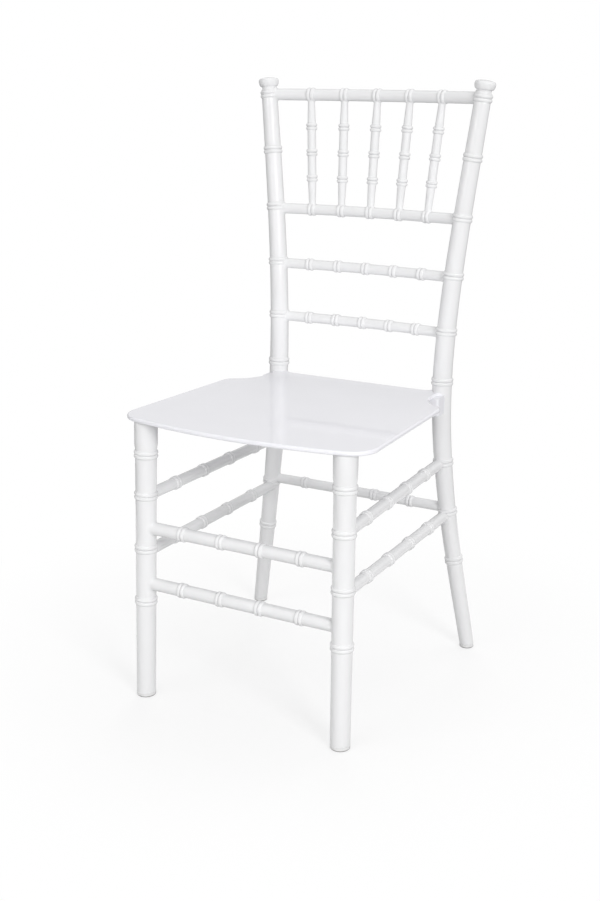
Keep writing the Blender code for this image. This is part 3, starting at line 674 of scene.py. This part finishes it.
def build_side_stretcher(node, leg, post, side, height, material):
    offset = ACROSS * (side * SIDE_STRETCHER_TOE_IN)
    start = leg.point(np.array(height))
    end = post.point(np.array(height)) - offset
    bar = bar_shaft(start, end, SIDE_STRETCHER_RADIUS)
    leg_wall = wall_beside(leg, height, SIDE_STRETCHER_RADIUS)
    post_wall = wall_beside(post, height, SIDE_STRETCHER_RADIUS + SIDE_STRETCHER_TOE_IN)
    hosts = [(leg, leg_wall), (post, post_wall)]
    rows = rings_along(bar, stretcher_shares(), STRETCHER_RING)
    mesh = bar_mesh(node, bar, hosts, SIDE_STRETCHER_RADIUS, STRETCHER_FILLET, rows)
    dress(node, mesh, material)


def build_spindle(node, share, low_rail, high_rail, material):
    low = low_rail.point(np.array(share * low_rail.length))
    high = high_rail.point(np.array(share * high_rail.length))
    bar = bar_shaft(low, high, SPINDLE_RADIUS, reference=ACROSS)
    rings = [0.5 + step * SPINDLE_RING_STEP for step in (-1, 0, 1)]
    low_ring = rings[0] * bar.length
    high_ring = rings[-1] * bar.length
    places = (SPINDLE_RAIL_RADIUS, low_ring, high_ring, bar.length - TOP_RAIL_RADIUS)
    sizes = (SPINDLE_END_RADIUS, SPINDLE_RADIUS, SPINDLE_RADIUS, SPINDLE_END_RADIUS)

    def tapered_radius(along):
        return np.interp(along, places, sizes)

    bar.radius = tapered_radius
    hosts = [(rail, SPINDLE_FILLET / FILLET_WALL_SHARE) for rail in (low_rail, high_rail)]
    rows = rings_along(bar, rings, SPINDLE_RING)
    mesh = bar_mesh(node, bar, hosts, SPINDLE_END_RADIUS, SPINDLE_FILLET, rows, proud=RAIL_RING[1] / 2)
    dress(node, mesh, material)


# Seat

def arc(centre, radius, start, end):
    """Points on an arc, angles in degrees."""
    widest = math.degrees(2 * math.acos(1 - SEAT_OUTLINE_TOLERANCE / radius))
    steps = math.ceil(abs(end - start) / widest)
    angles = [math.radians(start + (end - start) * k / steps) for k in range(steps + 1)]
    return [Vector((centre[0] + radius * math.cos(t), centre[1] + radius * math.sin(t))) for t in angles]


def bearing(centre, point):
    return math.degrees(math.atan2(point[1] - centre[1], point[0] - centre[0]))


def seat_half_outline(post):
    """Right half of the seat's plan, from the middle of the front edge to the rear edge inside the post."""
    waist = seat_top(POST_WAIST_BACK) - SEAT_THICKNESS / 2
    place = post.point(np.array(waist))
    sleeve = float(post.radius(waist)) + NOTCH_CLEARANCE
    # Front edge, a wide arc, and the front corner that it runs into
    bow = (0.0, SEAT_FRONT_EDGE_RADIUS - SEAT_FRONT)
    corner_x = SEAT_FRONT_WIDTH / 2 - SEAT_FRONT_CORNER_RADIUS
    reach = SEAT_FRONT_EDGE_RADIUS - SEAT_FRONT_CORNER_RADIUS
    corner = (corner_x, bow[1] - math.sqrt(reach ** 2 - corner_x ** 2))
    turn = bearing(bow, corner)
    # Scoop ahead of the post, and the rear corner that runs into it
    scoop = (place[0] + SCOOP_RADIUS, place[1] - SCOOP_AHEAD_OF_POST)
    rear_x = SEAT_REAR_WIDTH / 2 - SEAT_REAR_CORNER_RADIUS
    gap = SCOOP_RADIUS + SEAT_REAR_CORNER_RADIUS
    rear = (rear_x, scoop[1] - math.sqrt(gap ** 2 - (scoop[0] - rear_x) ** 2))
    meet = bearing(rear, scoop)
    # Straight side that touches both corners
    between = math.hypot(rear[0] - corner[0], rear[1] - corner[1])
    narrowing = (SEAT_FRONT_CORNER_RADIUS - SEAT_REAR_CORNER_RADIUS) / between
    side = bearing(corner, rear) - math.degrees(math.acos(narrowing))
    points = arc(bow, SEAT_FRONT_EDGE_RADIUS, -90.0, turn)
    points += arc(corner, SEAT_FRONT_CORNER_RADIUS, turn, side)[1:]
    points += arc(rear, SEAT_REAR_CORNER_RADIUS, side, meet)
    points += arc(scoop, SCOOP_RADIUS, meet - 180.0, -180.0)[1:]
    # Flares to the post, on its outer side and on its inner side
    sweep = math.radians(OUTER_FLARE_SWEEP)
    aside = OUTER_FLARE_RADIUS * (1 - math.cos(sweep))
    lift = math.sqrt(sleeve ** 2 - aside ** 2) + OUTER_FLARE_RADIUS * math.sin(sweep)
    flare = (place[0] + OUTER_FLARE_RADIUS, place[1] - lift)
    points += arc(flare, OUTER_FLARE_RADIUS, 180.0, 180.0 - OUTER_FLARE_SWEEP)
    points.append(Vector(place[:2]))
    edge = place[1] - SEAT_REAR_INSET
    aside = INNER_FLARE_RADIUS * math.sin(math.radians(INNER_FLARE_SWEEP))
    inner = (place[0] - sleeve - aside, edge + INNER_FLARE_RADIUS)
    points += arc(inner, INNER_FLARE_RADIUS, INNER_FLARE_SWEEP - 90.0, -90.0)
    return points


def plate_mesh(outline):
    """Flat plate with a rounded rim, tilted to the seat's slope."""
    body = bmesh.new()
    low = [body.verts.new((point.x, point.y, -SEAT_THICKNESS)) for point in outline]
    base = body.faces.new(reversed(low))
    body.normal_update()
    lifted = bmesh.ops.extrude_face_region(body, geom=[base], use_keep_orig=True)
    tops = [item for item in lifted["geom"] if isinstance(item, bmesh.types.BMVert)]
    bmesh.ops.translate(body, vec=(0.0, 0.0, SEAT_THICKNESS), verts=tops)
    bmesh.ops.recalc_face_normals(body, faces=body.faces)
    rim = [edge for edge in body.edges
           if abs(edge.verts[0].co.z - edge.verts[1].co.z) < SEAT_THICKNESS / 2]
    round_edges(body, rim, SEAT_EDGE_ROUNDING, SEAT_EDGE_STEPS)
    for vertex in body.verts:
        across, back, rise = vertex.co
        vertex.co = (across, back * math.cos(SEAT_TILT) + rise * math.sin(SEAT_TILT),
                     SEAT_HEIGHT + rise * math.cos(SEAT_TILT) - back * math.sin(SEAT_TILT))
    return mesh_from(body, "plate")


def lug_mesh(post):
    """Rounded block under the seat, ahead of a rear post and reaching into it."""
    top = seat_top(POST_WAIST_BACK) - SEAT_THICKNESS / 2
    bottom = seat_underside(POST_WAIST_BACK) - LUG_HEIGHT
    place = post.point(np.array((top + bottom) / 2))
    front = place[1] - float(post.radius(top)) - LUG_DEPTH
    height = top - bottom
    depth = place[1] - front
    body = bmesh.new()
    bmesh.ops.create_cube(body, size=1.0)
    bmesh.ops.scale(body, vec=(LUG_WIDTH, depth, height), verts=body.verts)
    upright = [edge for edge in body.edges
               if abs(edge.verts[0].co.z - edge.verts[1].co.z) > height / 2 and edge.verts[0].co.y < 0.0]
    round_edges(body, upright, LUG_CORNER_RADIUS, LUG_CORNER_STEPS)
    lower = [edge for edge in body.edges if max(vertex.co.z for vertex in edge.verts) < -height / 3]
    round_edges(body, lower, LUG_EDGE_ROUNDING, LUG_EDGE_STEPS)
    bmesh.ops.translate(body, vec=(place[0], (place[1] + front) / 2, (top + bottom) / 2), verts=body.verts)
    return mesh_from(body, "lug")


def notch_mesh(post):
    """Cutter of the seat's hollow for a rear post."""
    low = seat_underside(POST_WAIST_BACK) - LUG_HEIGHT - SEAT_THICKNESS
    high = seat_top(POST_WAIST_BACK) + SEAT_THICKNESS
    along, radius = as_stations(post, with_plain([], low, high))
    return loft_mesh("notch", post.surface(along, radius + NOTCH_CLEARANCE))


def build_seat(node, posts, material):
    half = seat_half_outline(posts["right"])
    mirror = [Vector((-point.x, point.y)) for point in reversed(half) if point.x > SAME_PLACE]
    steps = [("UNION", lug_mesh(post)) for post in posts.values()]
    steps += [("DIFFERENCE", notch_mesh(post)) for post in posts.values()]
    seat = dress(node, combined(plate_mesh(half + mirror), steps), material)
    flat = seat.modifiers.new("flat_faces", "WEIGHTED_NORMAL")
    flat.keep_sharp = True


# Bolts and feet

def build_bolt(node, post, material):
    face, length = bolt_line(post)
    bar = bar_shaft(face - BACKWARD * length, face, BOLT_RADIUS)
    under = length - BOLT_HEAD_HEIGHT
    rows = [(0.0, BOLT_RADIUS), (under, BOLT_RADIUS), (under, BOLT_HEAD_RADIUS)]
    for place, lift in rounded_end(length, BOLT_HEAD_ROUNDING, BOLT_HEAD_STEPS):
        rows.append((place, BOLT_HEAD_RADIUS + lift))
    # Distance from the bolt's axis to the wall of the key hole, for each facet
    hexagon = BOLT_KEY_RADIUS / np.cos((ANGLES + math.pi / 6) % (math.pi / 3) - math.pi / 6)
    rows += [(length, hexagon), (length - BOLT_KEY_DEPTH, hexagon)]
    along = np.array([np.full(FACETS, place) for place, _ in rows])
    radius = np.array([np.full(FACETS, size) for _, size in rows])
    dress(node, loft_mesh(node, bar.surface(along, radius)), material)


def build_glide(node, host, material):
    centre = host.point(np.array(GLIDE_HEIGHT))
    radius = float(host.radius(GLIDE_HEIGHT))
    floor = np.array((centre[0], centre[1], 0.0))
    bar = bar_shaft(floor, floor + UP * GLIDE_HEIGHT, radius, reference=ACROSS)
    rows = rounded_end(0.0, GLIDE_ROUNDING, GLIDE_STEPS, outward=-1)[::-1]
    rows += [(GLIDE_HEIGHT - GLIDE_GAP, 0.0), (GLIDE_HEIGHT, -GLIDE_GAP)]
    along, sizes = as_stations(bar, rows)
    dress(node, loft_mesh(node, bar.surface(along, sizes)), material)


# Materials

class Nodes:
    """Shorthand for building a node tree."""

    def __init__(self, owner):
        owner.use_nodes = True
        self.tree = owner.node_tree

    def add(self, kind, **values):
        node = self.tree.nodes.new(kind)
        for name, value in values.items():
            setattr(node, name, value)
        return node

    def join(self, source, target):
        self.tree.links.new(source, target)

    def place(self):
        return self.add("ShaderNodeTexCoord").outputs["Object"]

    def noise(self, scale, detail, stretch):
        mapping = self.add("ShaderNodeMapping")
        mapping.inputs["Scale"].default_value = stretch
        noise = self.add("ShaderNodeTexNoise")
        noise.inputs["Scale"].default_value = scale
        noise.inputs["Detail"].default_value = detail
        self.join(self.place(), mapping.inputs["Vector"])
        self.join(mapping.outputs["Vector"], noise.inputs["Vector"])
        return noise.outputs["Fac"]

    def spread(self, value, limits, results, interpolation="LINEAR"):
        """A value's range between two limits, spread over the range between two results."""
        node = self.add("ShaderNodeMapRange", interpolation_type=interpolation)
        names = ("From Min", "From Max", "To Min", "To Max")
        for name, number in zip(names, (*limits, *results)):
            node.inputs[name].default_value = number
        self.join(value, node.inputs["Value"])
        return node.outputs["Result"]

    def calculate(self, operation, first, second):
        node = self.add("ShaderNodeMath", operation=operation)
        self.join(first, node.inputs[0])
        self.join(second, node.inputs[1])
        return node.outputs["Value"]

    def colour_mix(self, factor):
        mix = self.add("ShaderNodeMix", data_type="RGBA")
        self.join(factor, mix.inputs["Factor"])
        return mix

    def blend(self, factor, first, second):
        mix = self.colour_mix(factor)
        mix.inputs["A"].default_value = (*first, 1.0)
        mix.inputs["B"].default_value = (*second, 1.0)
        return mix.outputs["Result"]

    def blend_over(self, factor, source, colour):
        mix = self.colour_mix(factor)
        mix.inputs["B"].default_value = (*colour, 1.0)
        self.join(source, mix.inputs["A"])
        return mix.outputs["Result"]

    def mix_shaders(self, factor, first, second):
        mix = self.add("ShaderNodeMixShader")
        self.join(factor, mix.inputs["Fac"])
        self.join(first, mix.inputs[1])
        self.join(second, mix.inputs[2])
        return mix.outputs["Shader"]

    def near_floor(self):
        """1 at the floor, fading to 0 just above it."""
        split = self.add("ShaderNodeSeparateXYZ")
        self.join(self.place(), split.inputs["Vector"])
        return self.spread(split.outputs["Z"], GRIME_AND_CONTACT_SHADE_HEIGHTS, (1.0, 0.0), "SMOOTHSTEP")


def surface_material(name, colours, roughness, grain, metallic=0.0, stretch=NO_STRETCH, grime_and_contact_shade=None):
    """Moulded or machined finish: faint cloudiness, uneven polish and a fine grain.
    colours and roughness are (low, high); grain is (scale, depth in metres); the last argument is the
    colour
    painted on the surface beside the floor: painted contact shade where the foot meets the floor, and
    grime."""
    material = bpy.data.materials.new(name)
    nodes = Nodes(material)
    shader = nodes.tree.nodes["Principled BSDF"]
    shader.inputs["Metallic"].default_value = metallic
    cloud = nodes.spread(nodes.noise(*CLOUD_NOISE, stretch), NOISE_RANGE, (0.0, 1.0))
    colour = nodes.blend(cloud, *colours)
    # painted contact shade and grime: darker just above the floor
    if grime_and_contact_shade:
        colour = nodes.blend_over(nodes.near_floor(), colour, grime_and_contact_shade)
    nodes.join(colour, shader.inputs["Base Color"])
    polish = nodes.spread(nodes.noise(*POLISH_NOISE, stretch), NOISE_RANGE, roughness)
    nodes.join(polish, shader.inputs["Roughness"])
    scale, depth = grain
    bump = nodes.add("ShaderNodeBump")
    bump.inputs["Strength"].default_value = GRAIN_STRENGTH
    bump.inputs["Distance"].default_value = depth
    nodes.join(nodes.noise(scale, GRAIN_DETAIL, stretch), bump.inputs["Height"])
    nodes.join(bump.outputs["Normal"], shader.inputs["Normal"])
    return material


# Studio

def bare_material(name):
    """Material with no shader yet, and its nodes."""
    material = bpy.data.materials.new(name)
    nodes = Nodes(material)
    nodes.tree.nodes.remove(nodes.tree.nodes["Principled BSDF"])
    return material, nodes


def seen_rays(nodes):
    """1 for rays that show a surface to the camera, directly or in a reflection, and 0 for light."""
    path = nodes.add("ShaderNodeLightPath")
    total = path.outputs["Is Camera Ray"]
    for name in ("Is Glossy Ray", "Is Transmission Ray"):
        total = nodes.calculate("MAXIMUM", total, path.outputs[name])
    return total


def build_world():
    world = bpy.data.worlds.new("studio")
    bpy.context.scene.world = world
    nodes = Nodes(world)
    ambient = nodes.tree.nodes["Background"]
    ambient.inputs["Color"].default_value = WHITE
    ambient.inputs["Strength"].default_value = AMBIENT
    white = nodes.add("ShaderNodeBackground")
    white.inputs["Color"].default_value = WHITE
    mixed = nodes.mix_shaders(seen_rays(nodes), ambient.outputs["Background"], white.outputs["Background"])
    nodes.join(mixed, nodes.tree.nodes["World Output"].inputs["Surface"])


def floor_material():
    """Pale floor that keeps the chair's shadow and turns wholly white further out."""
    material, nodes = bare_material("floor_white")
    seen = seen_rays(nodes)
    diffuse = nodes.add("ShaderNodeBsdfDiffuse")
    nodes.join(nodes.blend(seen, FLOOR_BOUNCE, FLOOR_COLOUR), diffuse.inputs["Color"])
    white = nodes.add("ShaderNodeEmission")
    distance = nodes.add("ShaderNodeVectorMath", operation="LENGTH")
    nodes.join(nodes.place(), distance.inputs[0])
    fade = nodes.spread(distance.outputs["Value"], FLOOR_FADE, (FLOOR_WHITE_NEAR, 1.0), "SMOOTHSTEP")
    share = nodes.calculate("MULTIPLY", seen, fade)
    mixed = nodes.mix_shaders(share, diffuse.outputs["BSDF"], white.outputs["Emission"])
    nodes.join(mixed, nodes.tree.nodes["Material Output"].inputs["Surface"])
    return material


def build_floor():
    mesh = bpy.data.meshes.new("floor")
    corners = [(-FLOOR_REACH, -FLOOR_REACH), (FLOOR_REACH, -FLOOR_REACH), (FLOOR_REACH, FLOOR_REACH),
               (-FLOOR_REACH, FLOOR_REACH)]
    mesh.from_pydata([(x, y, 0.0) for x, y in corners], [], [(0, 1, 2, 3)])
    mesh.materials.append(floor_material())
    add_object("floor", mesh)


def plain_glow(name, grey):
    material, nodes = bare_material(name)
    glow = nodes.add("ShaderNodeEmission")
    glow.inputs["Strength"].default_value = grey
    nodes.join(glow.outputs["Emission"], nodes.tree.nodes["Material Output"].inputs["Surface"])
    return material


def build_surround():
    """Grey studio walls outside the picture, which only show in the gloss."""
    vertices = []
    for radius, height in SURROUND_PROFILE:
        for k in range(FACETS):
            turn = 2 * math.pi * k / FACETS
            vertices.append((radius * math.cos(turn), radius * math.sin(turn), height))
    faces = []
    for low in range(0, FACETS * len(SURROUND_GREYS), FACETS):
        for k in range(FACETS):
            following = low + (k + 1) % FACETS
            faces.append((low + k, following, following + FACETS, low + k + FACETS))
    mesh = bpy.data.meshes.new("surround")
    mesh.from_pydata(vertices, [], faces)
    for band, grey in enumerate(SURROUND_GREYS):
        mesh.materials.append(plain_glow(f"studio_grey_{band}", grey))
    for face in mesh.polygons:
        face.material_index = face.index // FACETS
    walls = add_object("surround", mesh)
    walls.visible_camera = False
    walls.visible_diffuse = False
    walls.visible_transmission = False
    walls.visible_shadow = False


def add_softbox(name, azimuth, distance, height, size, power):
    """Soft light that doesn't show in the gloss. Azimuth 0 is in front of the chair, and +X is positive."""
    light = bpy.data.lights.new(name, "AREA")
    light.shape = "RECTANGLE"
    light.size, light.size_y = size
    light.energy = power
    lamp = add_object(name, light)
    turn = math.radians(azimuth)
    lamp.location = (distance * math.sin(turn), -distance * math.cos(turn), height)
    aim = Vector((0.0, 0.0, SEAT_HEIGHT)) - lamp.location
    lamp.rotation_euler = aim.to_track_quat("-Z", "Y").to_euler()
    lamp.visible_camera = False
    lamp.visible_glossy = False
    return lamp


def make_strip(lamp, pieces):
    """Let a lamp make highlights on the given pieces and do nothing else."""
    lamp.visible_glossy = True
    lamp.visible_diffuse = False
    lit = bpy.data.collections.new(f"{lamp.name}_pieces")
    for piece in pieces:
        lit.objects.link(piece)
    lamp.light_linking.receiver_collection = lit


def build_camera():
    data = bpy.data.cameras.new("camera")
    data.lens = CAMERA_LENS
    data.sensor_width = CAMERA_SENSOR
    camera = add_object("camera", data)
    camera.location = CAMERA_PLACE
    camera.rotation_euler = (math.pi / 2 - CAMERA_PITCH, 0.0, CAMERA_YAW)
    bpy.context.scene.camera = camera


# Assembly

frame_white = surface_material("frame_white", *FRAME_FINISH)
seat_white = surface_material("seat_white", *SEAT_FINISH)
# the feet get a dark band at the bottom, painted contact shade with some grime
glide_plastic = surface_material("glide_plastic", *GLIDE_FINISH, grime_and_contact_shade=GRIME_AND_CONTACT_SHADE_COLOUR)
bolt_steel = surface_material("bolt_steel", *BOLT_FINISH, metallic=1.0, stretch=BOLT_STRETCH)

posts = {key: post_shaft(side) for key, side in SIDES.items()}
legs = {key: leg_shaft(side) for key, side in SIDES.items()}
post_pair = list(posts.values())
leg_pair = list(legs.values())

post_pieces = []
for key in SIDES:
    post_pieces.append(build_post(f"rear_post_{key}", posts[key], frame_white))
    build_finial(f"rear_post_{key}", posts[key], frame_white)
    build_leg(f"front_leg_{key}", legs[key], frame_white)
    build_bolt(f"seat_bolt_{key}", posts[key], bolt_steel)
    build_glide(f"foot_glide_front_{key}", legs[key], glide_plastic)
    build_glide(f"foot_glide_rear_{key}", posts[key], glide_plastic)

rails = {}
for level, (height, radius, bow, pitch) in RAILS.items():
    rails[level] = build_cross_bar(f"back_rail_{level}", post_pair, height, radius, RAIL_RING,
                                   rail_shares(pitch), RAIL_FILLET, frame_white, bow)
for number, share in enumerate(rail_shares(), 1):
    build_spindle(f"back_spindle_{number}", share, rails["spindle"], rails["top"], frame_white)

for level, height in (("upper", FRONT_UPPER), ("lower", FRONT_LOWER)):
    build_cross_bar(f"front_stretcher_{level}", leg_pair, height, FRONT_STRETCHER_RADIUS, STRETCHER_RING,
                    stretcher_shares(), STRETCHER_FILLET, frame_white)
for key, side in SIDES.items():
    for level, height in (("upper", SIDE_UPPER), ("lower", SIDE_LOWER)):
        build_side_stretcher(f"{key}_stretcher_{level}", legs[key], posts[key], side, height, frame_white)
build_cross_bar("rear_stretcher", post_pair, REAR_STRETCHER, REAR_STRETCHER_RADIUS, STRETCHER_RING,
                stretcher_shares(), STRETCHER_FILLET, frame_white)
build_seat("seat", posts, seat_white)

build_world()
build_floor()
build_surround()
for name, placing in LAMPS.items():
    lamp = add_softbox(name, *placing)
    if name in STRIPS:
        make_strip(lamp, post_pieces)
build_camera()
bpy.context.scene.view_settings.view_transform = "Standard"
